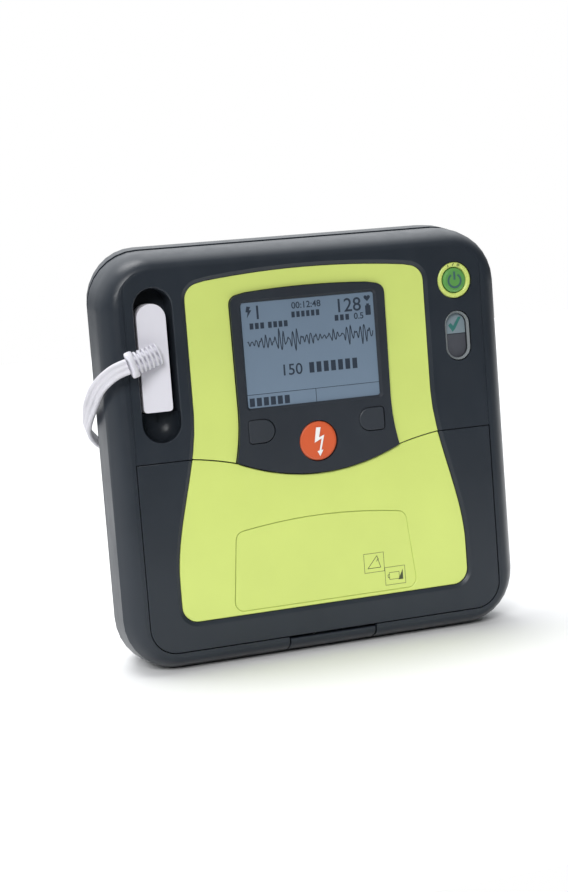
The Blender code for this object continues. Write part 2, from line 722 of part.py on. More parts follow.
def strain_relief():
    """A ribbed boot with an oval collar, seated on the plug's face. Each ring lies along +Y."""
    start, end = Vector(BOOT_FROM), Vector(BOOT_TO)
    along = (end - start).normalized()
    up = Vector((-0.33, 0, 1)).normalized()
    side = Vector((0, 1, 0))
    length = (end - start).length
    collar = 3.6
    pitch = (length - collar) / BOOT_RIBS
    stations = []
    for i in range(BOOT_RIBS):
        at = i * pitch
        stations += [(at, 6.1, 4.6), (at + pitch * 0.55, 6.1, 4.6), (at + pitch * 0.62, 5.1, 3.8)]
        stations.append((at + pitch * 0.97, 5.1, 3.8))
    stations += [(length - collar, 6.6, 4.2), (length - collar + 0.6, 7.3, 4.8)]
    stations += [(length - 0.7, 7.3, 4.8), (length, 6.6, 4.2)]
    rings = []
    for at, high, deep in stations:
        centre = start + along * at
        ring = []
        for step in range(12):
            angle = 2 * math.pi * step / 12
            ring.append(centre + up * (high * math.cos(angle)) + side * (deep * math.sin(angle)))
        rings.append(ring)
    boot = loft("strain_relief", rings, "white")
    cut(boot, block("plug_face", (-120, PLUG_Y[0] - GAP, 150), (-60, -20, 200), None))
    return boot


def lead_parts():
    tube("lead", smooth_route(LEAD_ROUTE, 7.0), LEAD_R, "white")
    tube("lead_tail", smooth_route(TAIL_ROUTE, 10.0), LEAD_R, "white")
    height = (COIL_TURNS + 1) * LEAD_WIDTH
    centre = COIL_AT
    rings = [circle(centre, COIL_R + LEAD_R + 0.4, 40), circle(centre, COIL_R - LEAD_R - 0.4, 40)]
    plate("lead_coil", rings, 0.0, height, "white", "XY")
    pouch = plate("pads_pouch", [rounded(*POUCH, 6.0, 4)], 0.0, POUCH_T, "foil", "XY")
    soften(pouch, 2.4, 60.0)


def label_outline():
    """The label's edge, counter-clockwise: sides that lean outwards to the bottom and an arched top."""
    x0, z0, x1, z1 = LABEL
    lean = math.degrees(math.atan2(LABEL_LEAN, z1 - z0))
    climb = math.degrees(math.atan2(4 * LABEL_ARCH, x1 - x0))
    low_z, high_z = z0 + LABEL_R, z1 - LABEL_R
    outline = arc((x1 + LABEL_LEAN - LABEL_R, low_z), LABEL_R, -90, lean, 5)
    outline += arc((x1 - LABEL_R, high_z), LABEL_R, lean, 90 - climb, 5)
    for i in range(1, 10):
        share = i / 10
        x = x1 - LABEL_R + (x0 - x1 + 2 * LABEL_R) * share
        outline.append((x, z1 + 4 * LABEL_ARCH * share * (1 - share)))
    outline += arc((x0 + LABEL_R, high_z), LABEL_R, 90 + climb, 180 - lean, 5)
    return outline + arc((x0 - LABEL_LEAN + LABEL_R, low_z), LABEL_R, 180 - lean, 270, 5)


def door(pocket):
    leaf = plate("door", [door_outline()], FRONT_Y, WALL_BACK_Y, "dark")
    cut(leaf, pocket)
    outline = lime_foot() + lime_side(DOOR_TOP - 3, LIME_BOTTOM + LIME_CORNER_R + 2, 14)
    outline += seam_line(lime_half_width(DOOR_TOP), SEAM + 0.1, 34)
    outline += mirrored(lime_side(DOOR_TOP - 3, LIME_BOTTOM + LIME_CORNER_R + 2, 14))
    panel = plate("door_panel", [outline], LIME_Y, LIME_Y + LIME_T, "lime")
    cut(panel, plate("label_seat", [offset(label_outline(), GAP)], LIME_Y - 1, LIME_Y + 0.8, None))
    label = plate("door_label", [label_outline()], LIME_Y + 0.05, LIME_Y + 0.5, "lime")
    arms = [hinge_arm("hinge_arm_left", -1), hinge_arm("hinge_arm_right", 1)]
    pivot("door_axis", DOOR_AXIS, [leaf, panel, label, *arms])


def hinge_arm(name, side):
    """A curved arm about the door's axis, with a foot on the back of the door."""
    centre = DOOR_AXIS[1:]
    turn = [angle - 90 for angle in ARM_ANGLES]
    outer = arc(centre, ARM_R[1], turn[0], turn[1], 10)
    inner = arc(centre, ARM_R[0], turn[1], turn[0], 10)
    x0, x1 = sorted((side * ARM_X[0], side * ARM_X[1]))
    arm = plate(name, [outer + inner], x0, x1, "inner", "YZ")
    foot_y = WALL_BACK_Y + GAP
    join(arm, block(name + "_foot", (x0, foot_y, 98.0), (x1, foot_y + 2.2, 107.5), None))
    return arm


def latch():
    """A push tab that follows the bottom rim, on a carriage inside, with a hook behind the door."""
    rim = []
    for y in (FRONT_Y, -36.6, -35.5, -33.5, -31.0, -28.6):
        rim.append((y, front_insets(y)[1]))
    profile = [(FRONT_Y, LATCH_LIP[1]), *rim, (-26.4, rim[-1][1]), (-26.4, 5.4)]
    profile += [(LATCH_BACK_Y, 5.4), (LATCH_BACK_Y, LATCH_TOP), (LATCH_LIP[0], LATCH_TOP), LATCH_LIP]
    tab = plate("latch_tab", [profile], LATCH_X - LATCH_HALF, LATCH_X + LATCH_HALF, "dark", "YZ")
    join(tab, block("latch_hook", (-8, -31.4, 6), (8, -29.4, 12.0), None))
    pivot("latch_axis", (LATCH_X, -28, 7), [tab])
    low, high = LATCH_TOP + GAP + 0.4, WELL[1] - GAP - 0.4
    steps = SPRING_TURNS * 8
    for i, x in enumerate((LATCH_X - SPRING_X, LATCH_X + SPRING_X)):
        points = []
        for step in range(steps + 1):
            angle = 2 * math.pi * step / 8
            across, back = SPRING_R * math.cos(angle), SPRING_R * math.sin(angle)
            points.append((x + across, SPRING_Y + back, low + (high - low) * step / steps))
        tube(f"latch_spring_{i + 1}", points, 0.35, "steel", 1)


def battery_bay():
    x0, z0, x1, z1 = WELL
    flange = rounded(-107.0, 12.6, 107.0, 121.5, 12.0, 4)
    well = plate("battery_well", [flange], WELL_Y[0], WELL_Y[0] + 2, "inner")
    join(well, block("well_box", (x0, WELL_Y[0] + 1, z0), (x1, WELL_Y[1], z1), None))
    low, high = (x0 + WALL, -40, z0 + WALL), (x1 - WALL, WELL_Y[1] - WALL, z1 - WALL)
    cut(well, block("well_hollow", low, high, None))
    cut(well, block("bezel_clearance", (-50, -40, WELL[3] + 1.4), (50, 0, 130), None))
    for side in (-1, 1):
        a, b = sorted((side * (ARM_X[0] - 1.5), side * (ARM_X[1] + 1.5)))
        cut(well, block(f"arm_slot_{side + 1}", (a, -40, 97.0), (b, 0, 130), None))
    seal = [rounded(-67.0, 14.0, 67.0, 98.2, 4.0, 3), rounded(-63.4, 17.4, 63.4, 95.4, 3.0, 3)]
    plate("door_seal", seal, -31.0, WELL_Y[0] - GAP, "rubber")
    pack = block("battery_pack", (PACK[0], -26.0, PACK[1]), (PACK[2], 7.0, PACK[3]), "inner", 2.0)
    block("battery_contacts", (-16, 7.4, 50), (16, 9.2, 60), "brass")
    cut(pack, block("pack_grip_left", (-46, -40, 52), (-34, -17, 64), None))
    cut(pack, block("pack_grip_right", (34, -40, 52), (46, -17, 64), None))


def inside():
    holes = [circle(centre, 2.2, 12) for centre in SCREW_XZ]
    plate("chassis", [rounded(-104.0, 12.0, 104.0, 218.0, 18.0, 4), *holes], *CHASSIS_Y, "steel")
    plate("main_board", [rounded(-70.0, 102.0, 100.0, 214.0, 3.0, 2)], 6.0, 7.6, "board")
    drum("hv_capacitor", (87.0, -6.0, 60.0), (0, 0, 1), 17.0, 72.0, "steel", 32)
    block("charging_transformer", (-104.0, -22.0, 26.0), (-68.0, 10.0, 62.0), "brass", 1.5)
    block("relay_module", (-102.0, -18.0, 70.0), (-70.0, 8.0, 94.0), "inner", 1.0)
    x, z = SPEAKER_XZ
    drum("speaker", (x, 24.0, z), (0, 1, 0), 20.0, 14.0, "inner", 32)
    screw = [(0.0, 11.0), (1.5, 11.0), (1.5, 33.8), (3.2, 33.8), (3.2, 35.6), (2.2, 36.0), (0.0, 36.0)]
    for i, (x, z) in enumerate(SCREW_XZ):
        turned(f"case_screw_{i + 1}", (x, 0, z), screw, "steel", 16)
    foot_y = BACK_Y - 0.5
    foot = [(0.0, foot_y), (7.0, foot_y), (7.0, FEET_Y - 0.5), (6.2, FEET_Y), (0.0, FEET_Y)]
    for i, (x, z) in enumerate(FOOT_XZ):
        turned(f"rear_foot_{i + 1}", (x, 0, z), foot, "rubber", 28)


clear_scene()
panel_pocket = lime_pocket()
front_shell(panel_pocket)
rear_shell()
seal_gasket()
upper_panel()
screen_bezel()
display_parts()
keys()
power_controls()
pads_socket()
pads_plug()
lead_parts()
door(panel_pocket)
latch()
battery_bay()
inside()
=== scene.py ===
"""Looks of a portable defibrillator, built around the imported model. Lengths are written in millimetres
and MM turns them into metres. +X is to the right seen from the front, and the front faces -Y."""

import json
import math

import bmesh
import bpy
from mathutils import Matrix, Vector


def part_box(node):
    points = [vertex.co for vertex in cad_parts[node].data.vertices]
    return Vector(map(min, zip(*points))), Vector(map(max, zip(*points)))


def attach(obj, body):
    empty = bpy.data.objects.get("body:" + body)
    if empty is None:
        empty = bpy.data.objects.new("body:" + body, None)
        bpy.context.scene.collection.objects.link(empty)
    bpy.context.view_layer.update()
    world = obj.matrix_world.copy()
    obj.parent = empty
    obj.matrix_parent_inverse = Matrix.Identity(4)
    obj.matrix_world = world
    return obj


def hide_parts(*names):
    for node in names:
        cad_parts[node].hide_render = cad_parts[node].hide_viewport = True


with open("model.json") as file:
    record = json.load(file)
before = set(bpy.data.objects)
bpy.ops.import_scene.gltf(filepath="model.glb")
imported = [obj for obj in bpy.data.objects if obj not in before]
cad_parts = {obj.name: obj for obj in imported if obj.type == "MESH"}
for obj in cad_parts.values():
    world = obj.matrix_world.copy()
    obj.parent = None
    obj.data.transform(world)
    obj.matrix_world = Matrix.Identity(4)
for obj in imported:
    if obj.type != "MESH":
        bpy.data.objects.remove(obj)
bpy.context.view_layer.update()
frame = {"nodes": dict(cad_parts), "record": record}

MM = 0.001
BODY_OF = {node: body for body, nodes in frame["record"]["behaviour"]["bodies"].items() for node in nodes}

# Camera
VIEW_AZIMUTH = -19.0
VIEW_ELEVATION = 6.445
VIEW_ROLL = -4.474
VIEW_TARGET = (-7.7, 0.0, 113.8)
VIEW_DISTANCE = 1077.7
VIEW_LENS = 75.5

# Light. The dome's strength is the product of one ramp along each axis: axis, from, to, dim end, bright end
DOME = (
    ("X", -1.0, 0.4, 0.75, 1.0),
    ("X", 0.45, 0.8, 1.0, 0.08),
    ("Y", -0.35, 0.45, 0.12, 1.0),
    ("Y", 0.4, 0.9, 1.0, 0.6),
    ("Z", 0.0, 0.4, 0.42, 2.35),
)
SUNS = (  # name, direction, power, angle it fills in degrees
    ("above_behind", (0.16, -0.24, -1.0), 1.45, 30.0),
    ("front_left", (0.45, 0.85, -0.55), 2.3, 24.0),
)
FLOOR = (-2.5, -0.42, 2.5, 3.0)  # in metres

# Electrode lead
LEAD_ROUTE = (
    (-107.7, -46.2, 171.3),
    (-113.9, -44.9, 169.2),
    (-119.0, -40.9, 165.3),
    (-122.9, -35.0, 159.9),
    (-124.4, -28.0, 153.7),
    (-123.9, -17.0, 147.6),
    (-122.4, -5.0, 142.2),
    (-120.0, 8.0, 136.6),
    (-115.0, 22.0, 130.0),
    (-106.5, 35.5, 122.8),
    (-94.5, 44.5, 112.5),
    (-84.5, 49.0, 97.5),
    (-78.5, 53.0, 79.5),
    (-75.8, 58.5, 61.5),
    (-74.9, 67.0, 46.5),
    (-74.6, 78.0, 37.5),
)
COIL_AT = (-30.0, 104.0)
COIL_R = 46.0
COIL_FROM = 200.0  # degrees about COIL_AT, turning clockwise seen from above
COIL_SWEEP = 1190.0
COIL_PITCH = 8.7
COIL_LOW = 4.4
TAIL_ROUTE = ((-12.0, 152.2, 4.4), (2.0, 151.6, 4.4), (15.0, 149.6, 4.4), (27.6, 148.0, 4.4))
LEAD_WIDTH = 8.7
LEAD_CORE_RISE = 1.14  # height of each core against a round one
LEAD_FACES_FOR = 30.0  # how far along it the lead keeps facing the viewer
LEAD_TURNS_OVER = 45.0  # the length in which it then turns to lie in its coil
ROUTE_SPACING = 3.0
COIL_STEP = 4.0  # degrees
CREASE_ANGLE = 24.0  # edges sharper than this stay crisp
DIGIT_HEIGHT = 0.69  # of a numeral, for a font size of 1
FACES_VIEWER = Vector((0.33, 0.94, -0.11))  # across the broad side of the lead where it shows


# ---------------------------------------------------------------- helpers


def node_box(node):
    """Lowest and highest corner of a CAD node, in millimetres."""
    low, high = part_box(node)
    return low / MM, high / MM


def place(name, mesh, body, slot, replaced=(), material=None):
    """A mesh as a finished piece on a body."""
    piece = bpy.data.objects.new(name, mesh)
    bpy.context.scene.collection.objects.link(piece)
    mesh.materials.clear()
    mesh.materials.append(material or bpy.data.materials[slot])
    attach(piece, body)
    if replaced:
        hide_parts(*replaced)
    return piece


def mesh_from(bm, name, smooth=35.0):
    bmesh.ops.recalc_face_normals(bm, faces=bm.faces)
    mesh = bpy.data.meshes.new(name)
    bm.to_mesh(mesh)
    bm.free()
    mesh.shade_smooth()
    mesh.set_sharp_from_angle(angle=math.radians(smooth))
    return mesh


def loft(name, rings, closed_ends=True, smooth=35.0):
    """A mesh skin over rings of points in millimetres that match one to one."""
    bm = bmesh.new()
    loops = [[bm.verts.new(Vector(point) * MM) for point in ring] for ring in rings]
    count = len(loops[0])
    for near, far in zip(loops, loops[1:]):
        for i in range(count):
            j = (i + 1) % count
            bm.faces.new((near[i], near[j], far[j], far[i]))
    if closed_ends:
        bm.faces.new(loops[0])
        bm.faces.new(loops[-1])
    return mesh_from(bm, name, smooth)


def filled(name, outlines, y0, y1):
    """A flat mesh facing the front, from outlines of (x, z) in millimetres, holes included."""
    curve = bpy.data.curves.new(name, "CURVE")
    curve.dimensions = "2D"
    curve.fill_mode = "BOTH"
    curve.extrude = (y1 - y0) / 2 * MM
    for outline in outlines:
        spline = curve.splines.new("POLY")
        spline.points.add(len(outline) - 1)
        for target, (x, z) in zip(spline.points, outline):
            target.co = (x * MM, z * MM, 0.0, 1.0)
        spline.use_cyclic_u = True
    upright = Matrix.Translation((0, (y0 + y1) / 2 * MM, 0)) @ Matrix.Rotation(math.radians(90), 4, "X")
    return baked(name, curve, upright)


def baked(name, data, matrix):
    """The welded mesh of a curve or a text."""
    guide = bpy.data.objects.new(name + "_guide", data)
    bpy.context.scene.collection.objects.link(guide)
    graph = bpy.context.evaluated_depsgraph_get()
    bm = bmesh.new()
    bm.from_mesh(bpy.data.meshes.new_from_object(guide.evaluated_get(graph)))
    bpy.data.objects.remove(guide, do_unlink=True)
    bmesh.ops.remove_doubles(bm, verts=bm.verts, dist=0.000002)
    bmesh.ops.transform(bm, matrix=matrix, verts=bm.verts)
    return mesh_from(bm, name)


def line_work(name, lines, width, y, flatness=0.3):
    """Drawn lines standing a little proud of a front surface at y: each is a list of (x, z)."""
    curve = bpy.data.curves.new(name, "CURVE")
    curve.dimensions = "3D"
    curve.bevel_depth = width / 2 * MM
    curve.bevel_resolution = 1
    curve.use_fill_caps = True
    for line in lines:
        closed = line[0] == line[-1]
        points = line[:-1] if closed else line
        spline = curve.splines.new("POLY")
        spline.points.add(len(points) - 1)
        for target, (x, z) in zip(spline.points, points):
            target.co = (x * MM, 0.0, z * MM, 1.0)
        spline.use_cyclic_u = closed
    flat = Matrix.Translation((0, y * MM, 0)) @ Matrix.Scale(flatness, 4, (0, 1, 0))
    return baked(name, curve, flat)


def figures(name, words, y, thickness=0.1, weight=0.06):
    """Numerals on a front surface: each word is (text, x, z, height), placed by its lower left corner."""
    bm = bmesh.new()
    for text, x, z, height in words:
        font = bpy.data.curves.new(name, "FONT")
        font.body = text
        font.size = height / DIGIT_HEIGHT * MM
        font.offset = weight * MM
        font.extrude = thickness / 2 * MM
        font.resolution_u = 4
        upright = Matrix.Translation((x * MM, y * MM, z * MM)) @ Matrix.Rotation(math.radians(90), 4, "X")
        part = baked(name, font, upright)
        bm.from_mesh(part)
        bpy.data.meshes.remove(part)
    return mesh_from(bm, name)


def arc(centre, radius, start, end, steps):
    angles = [math.radians(start + (end - start) * i / steps) for i in range(steps + 1)]
    return [(centre[0] + radius * math.cos(a), centre[1] + radius * math.sin(a)) for a in angles]


def rounded(x0, z0, x1, z1, radius, steps=6):
    """A rectangle with round corners, counter-clockwise."""
    return (
        arc((x1 - radius, z0 + radius), radius, -90, 0, steps)
        + arc((x1 - radius, z1 - radius), radius, 0, 90, steps)
        + arc((x0 + radius, z1 - radius), radius, 90, 180, steps)
        + arc((x0 + radius, z0 + radius), radius, 180, 270, steps)
    )


def capsule(x0, z0, x1, z1, steps=14):
    radius = (x1 - x0) / 2
    middle = (x0 + x1) / 2
    crown = arc((middle, z1 - radius), radius, 0, 180, steps)
    return crown + arc((middle, z0 + radius), radius, 180, 360, steps)


def add_bevel(piece, width, angle=32.0, segments=2):
    bevel = piece.modifiers.new("edges", "BEVEL")
    bevel.width = width * MM
    bevel.segments = segments
    bevel.limit_method = "ANGLE"
    bevel.angle_limit = math.radians(angle)
    bevel.use_clamp_overlap = True
    bevel.miter_outer = "MITER_ARC"
    bevel.harden_normals = True


def add_cut(piece, mesh):
    """Cuts the shape of a mesh out of a piece."""
    tool = bpy.data.objects.new(piece.name + "_tool", mesh)
    bpy.context.scene.collection.objects.link(tool)
    boolean = piece.modifiers.new("cut", "BOOLEAN")
    boolean.operation = "DIFFERENCE"
    boolean.solver = "EXACT"
    boolean.object = tool
    graph = bpy.context.evaluated_depsgraph_get()
    cut = bpy.data.meshes.new_from_object(piece.evaluated_get(graph))
    piece.modifiers.remove(boolean)
    piece.data = cut
    bpy.data.objects.remove(tool, do_unlink=True)


def rounded_copy(node, slot, width, segments=2, cuts=()):
    """A piece with the CAD node's shape and rounded edges, which stands for it."""
    bm = bmesh.new()
    bm.from_mesh(frame["nodes"][node].data)
    bmesh.ops.remove_doubles(bm, verts=bm.verts, dist=0.000004)
    limit = math.radians(0.4)
    bmesh.ops.dissolve_limit(bm, angle_limit=limit, verts=bm.verts, edges=bm.edges)
    mesh = mesh_from(bm, node + "_finished", CREASE_ANGLE)
    piece = place(node + "_finished", mesh, BODY_OF[node], slot, [node])
    for mesh in cuts:
        add_cut(piece, mesh)
    add_bevel(piece, width, segments=segments)
    flat = piece.modifiers.new("flat", "WEIGHTED_NORMAL")
    flat.keep_sharp = True
    return piece


def repaint(node, slot):
    """Gives a CAD node that stays as it is its finished material."""
    mesh = frame["nodes"][node].data
    mesh.materials.clear()
    mesh.materials.append(bpy.data.materials[slot])


# ---------------------------------------------------------------- materials


class Shader:
    """A new material with short ways to add and join its nodes.

    It takes its name over from the CAD's plain material, so that a look-up by name finds this one.
    """

    def __init__(self, name, colour, roughness, **settings):
        plain = bpy.data.materials.get(name)
        if plain:
            plain.name = name + "_plain"
        self.material = bpy.data.materials.new(name)
        self.material.use_nodes = True
        self.tree = self.material.node_tree
        self.out = self.tree.nodes["Principled BSDF"]
        self.out.inputs["Base Color"].default_value = (*colour, 1.0)
        self.out.inputs["Roughness"].default_value = roughness
        for key, value in settings.items():
            self.out.inputs[key.replace("_", " ")].default_value = value
        self.place = self.add("ShaderNodeTexCoord").outputs["Object"]

    def add(self, kind, inputs=None, **settings):
        node = self.tree.nodes.new(kind)
        for key, value in settings.items():
            setattr(node, key, value)
        for key, value in (inputs or {}).items():
            if isinstance(value, bpy.types.NodeSocket):
                self.tree.links.new(value, node.inputs[key])
            else:
                node.inputs[key].default_value = value
        return node

    def noise(self, size, detail=3.0, stretch=(1.0, 1.0, 1.0), roughness=0.5):
        """Noise whose lumps are about size millimetres across, from 0 to 1."""
        spread = self.add("ShaderNodeMapping", {"Vector": self.place, "Scale": stretch})
        inputs = {"Vector": spread.outputs[0], "Scale": 1 / (size * MM)}
        inputs.update({"Detail": detail, "Roughness": roughness})
        return self.add("ShaderNodeTexNoise", inputs).outputs["Fac"]

    def cells(self, size, feature="F1", stretch=(1.0, 1.0, 1.0)):
        spread = self.add("ShaderNodeMapping", {"Vector": self.place, "Scale": stretch})
        inputs = {"Vector": spread.outputs[0], "Scale": 1 / (size * MM)}
        return self.add("ShaderNodeTexVoronoi", inputs, feature=feature).outputs["Distance"]

    def ranged(self, value, low, high, new_low, new_high):
        inputs = {"Value": value, "From Min": low, "From Max": high, "To Min": new_low, "To Max": new_high}
        return self.add("ShaderNodeMapRange", inputs).outputs[0]

    def maths(self, operation, first, second):
        return self.add("ShaderNodeMath", {0: first, 1: second}, operation=operation).outputs[0]

    def axis(self, name):
        return self.add("ShaderNodeSeparateXYZ", {0: self.place}).outputs[name]

    def blend(self, amount, first, second):
        """A colour between two, each given as numbers or as a socket."""
        inputs = {0: amount}
        for key, colour in ((6, first), (7, second)):
            inputs[key] = colour if isinstance(colour, bpy.types.NodeSocket) else (*colour, 1.0)
        return self.add("ShaderNodeMix", inputs, data_type="RGBA").outputs[2]

    def paint(self, colour):
        self.tree.links.new(colour, self.out.inputs["Base Color"])

    def gloss(self, roughness):
        self.tree.links.new(roughness, self.out.inputs["Roughness"])

    def bump(self, height, depth, strength=1.0):
        """Relief of this many millimetres from a height of 0 to 1, on top of any before it."""
        inputs = {"Height": height, "Distance": depth * MM, "Strength": strength}
        before = self.out.inputs["Normal"].links
        if before:
            inputs["Normal"] = before[0].from_socket
        node = self.add("ShaderNodeBump", inputs)
        self.tree.links.new(node.outputs[0], self.out.inputs["Normal"])


def shade(colour, factor):
    return tuple(value * factor for value in colour)


def moulded(name, colour, roughness, grain=0.5, depth=0.02, cloud=0.08, **settings):
    """Moulded plastic: a fine spark-eroded grain, faint clouds of colour and rub marks in the gloss."""
    look = Shader(name, colour, roughness, **settings)
    clouds = look.noise(38.0, 4.0)
    amount = look.ranged(clouds, 0.3, 0.7, 0.0, 1.0)
    look.paint(look.blend(amount, shade(colour, 1 - cloud), shade(colour, 1 + cloud)))
    rubs = look.noise(9.0, 5.0, (1.0, 1.0, 0.35), 0.65)
    look.gloss(look.ranged(rubs, 0.3, 0.75, roughness - 0.05, roughness + 0.07))
    look.bump(look.noise(grain, 2.0), depth)
    look.bump(look.noise(14.0, 1.0), depth * 1.5)
    return look


def make_plastics():
    dark = (0.0205, 0.0262, 0.0345)
    case = moulded("case_plastic", dark, 0.34, grain=0.55, depth=0.012, Specular_IOR_Level=0.36)
    scuffs = case.noise(2.2, 6.0, (1.0, 1.0, 6.0), 0.8)
    worn = case.ranged(scuffs, 0.66, 0.78, 0.0, 0.25)
    case.paint(case.blend(worn, case.out.inputs["Base Color"].links[0].from_socket, (0.055, 0.063, 0.074)))
    moulded("lime_plastic", (0.60, 0.705, 0.18), 0.36, grain=0.7, depth=0.008, cloud=0.025)
    moulded("bezel_plastic", (0.0190, 0.0240, 0.0320), 0.43, grain=0.4, depth=0.014, Specular_IOR_Level=0.42)
    moulded("key_rubber", (0.021, 0.0265, 0.035), 0.48, grain=0.35, depth=0.012)
    moulded("seal_rubber", (0.010, 0.011, 0.013), 0.72, grain=0.6, depth=0.03)
    moulded("shock_key", (0.63, 0.108, 0.036), 0.33, grain=0.6, depth=0.006, cloud=0.03)
    moulded("power_key", (0.105, 0.31, 0.075), 0.34, grain=0.6, depth=0.006, cloud=0.04)
    moulded("white_plastic", (0.73, 0.72, 0.78), 0.36, grain=0.7, depth=0.006, cloud=0.015)
    lead = moulded("lead_jacket", (0.62, 0.61, 0.655), 0.42, grain=0.5, depth=0.01, cloud=0.02)
    lead.bump(lead.noise(3.0, 2.0), 0.05)
    moulded("inner_plastic", (0.045, 0.047, 0.052), 0.55, grain=0.7, depth=0.02)
    moulded("battery_case", (0.030, 0.034, 0.040), 0.46, grain=0.45, depth=0.02)


def make_metals():
    steel = Shader("steel", (0.55, 0.56, 0.58), 0.28, Metallic=1.0)
    steel.gloss(steel.ranged(steel.noise(1.5, 4.0), 0.3, 0.7, 0.2, 0.38))
    steel.bump(steel.noise(0.4, 2.0, (1.0, 1.0, 8.0)), 0.008)
    sheet = Shader("sheet_aluminium", (0.66, 0.67, 0.69), 0.36, Metallic=1.0)
    sheet.gloss(sheet.ranged(sheet.noise(4.0, 5.0, (0.1, 1.0, 1.0)), 0.3, 0.7, 0.28, 0.46))
    sheet.bump(sheet.noise(0.6, 2.0, (0.05, 1.0, 1.0)), 0.01)
    contact = Shader("contact_metal", (0.83, 0.62, 0.26), 0.24, Metallic=1.0)
    contact.gloss(contact.ranged(contact.noise(2.0, 4.0), 0.3, 0.7, 0.17, 0.34))
    winding = Shader("winding", (0.55, 0.21, 0.07), 0.34, Metallic=0.6)
    turns = winding.add("ShaderNodeTexWave", {"Vector": winding.place, "Scale": 320.0}, bands_direction="Z")
    winding.paint(winding.blend(turns.outputs["Fac"], (0.25, 0.08, 0.025), (0.62, 0.26, 0.09)))
    winding.bump(turns.outputs["Fac"], 0.3)


def make_board():
    board = Shader("circuit_board", (0.012, 0.10, 0.035), 0.38)
    tracks = board.cells(3.4, "DISTANCE_TO_EDGE")
    lines = board.ranged(tracks, 0.05, 0.09, 1.0, 0.0)
    board.paint(board.blend(lines, (0.010, 0.085, 0.03), (0.03, 0.19, 0.06)))
    board.bump(lines, 0.03)


def make_display():
    """The grey-blue front sheet of the liquid crystal display with its faint grid of pixels, and its ink."""
    colour = (0.150, 0.207, 0.278)
    display = Shader("screen_window", colour, 0.34)
    low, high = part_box("display_window")
    # Painted shade: the sheet is painted lighter at its bottom and darker towards its top.
    rise = display.ranged(display.axis("Z"), low.z, high.z, 0.0, 1.0)
    sheet = display.blend(rise, shade(colour, 1.10), shade(colour, 0.92))
    clouds = display.noise(22.0, 2.0)
    sheet = display.blend(display.ranged(clouds, 0.3, 0.7, 0.0, 0.6), sheet, shade(colour, 1.04))
    across, up = display.axis("X"), display.axis("Z")
    flat = display.add("ShaderNodeCombineXYZ", {0: across, 1: up}).outputs[0]
    pixel = 0.33 * MM
    size = {"Vector": flat, "Scale": 1.0, "Mortar Size": 0.05 * MM, "Brick Width": pixel, "Row Height": pixel}
    black, white = (0.0, 0.0, 0.0, 1.0), (1.0, 1.0, 1.0, 1.0)
    size.update({"Color1": black, "Color2": black, "Mortar": white})
    grid = display.add("ShaderNodeTexBrick", size, offset=0.0).outputs["Fac"]
    display.paint(display.blend(display.maths("MULTIPLY", grid, 0.12), sheet, shade(colour, 0.6)))
    display.gloss(display.ranged(display.noise(6.0, 3.0), 0.3, 0.7, 0.30, 0.40))
    display.bump(display.noise(0.5, 2.0), 0.004)
    ink = Shader("display_ink", (0.018, 0.028, 0.045), 0.45)
    ink.paint(ink.blend(ink.noise(2.0), (0.014, 0.023, 0.040), (0.024, 0.036, 0.056)))
    module = Shader("display", (0.32, 0.33, 0.34), 0.42)
    module.gloss(module.ranged(module.noise(5.0, 3.0), 0.3, 0.7, 0.36, 0.50))


def make_prints():
    """Inks and inlays: the symbols on the door, the keys and the ready window."""
    icon = Shader("icon_ink", (0.050, 0.068, 0.030), 0.5)
    icon.paint(icon.blend(icon.noise(1.2), (0.044, 0.060, 0.026), (0.062, 0.080, 0.036)))
    white = Shader("white_ink", (0.86, 0.85, 0.84), 0.42)
    white.paint(white.blend(white.noise(1.5), (0.83, 0.82, 0.81), (0.89, 0.88, 0.87)))
    power = Shader("power_ink", (0.045, 0.105, 0.11), 0.45)
    power.paint(power.blend(power.noise(1.2), (0.038, 0.095, 0.10), (0.055, 0.12, 0.125)))
    upper = Shader("ready_upper", (0.185, 0.235, 0.265), 0.42)
    upper.paint(upper.blend(upper.noise(3.0), (0.17, 0.22, 0.25), (0.20, 0.25, 0.28)))
    lower = Shader("ready_lower", (0.058, 0.062, 0.075), 0.5)
    lower.paint(lower.blend(lower.noise(3.0), (0.052, 0.056, 0.068), (0.066, 0.07, 0.084)))
    # Painted highlight: the ready window's sloped rim is painted pale grey for the light its chamfer catches.
    rim = Shader("ready_rim", (0.21, 0.23, 0.24), 0.3)
    rim.gloss(rim.ranged(rim.noise(4.0), 0.3, 0.7, 0.24, 0.36))
    wall = Shader("ready_wall", (0.018, 0.021, 0.026), 0.5)
    wall.gloss(wall.ranged(wall.noise(3.0), 0.3, 0.7, 0.45, 0.6))
    check = Shader("check_ink", (0.03, 0.15, 0.135), 0.42)
    check.paint(check.blend(check.noise(1.0), (0.026, 0.135, 0.12), (0.04, 0.17, 0.15)))


def make_film():
    """The crinkled foil of the pads pouch."""
    film = Shader("pouch_film", (0.72, 0.75, 0.78), 0.3, Metallic=0.35)
    creases = film.cells(13.0, "DISTANCE_TO_EDGE")
    film.bump(film.ranged(creases, 0.0, 0.12, 0.0, 1.0), 0.25)
    film.bump(film.noise(5.0, 4.0), 0.35)
    film.gloss(film.ranged(film.noise(7.0, 3.0), 0.3, 0.7, 0.22, 0.42))
    film.paint(film.blend(film.noise(20.0, 3.0), (0.66, 0.70, 0.74), (0.78, 0.80, 0.82)))


# ---------------------------------------------------------------- camera and light


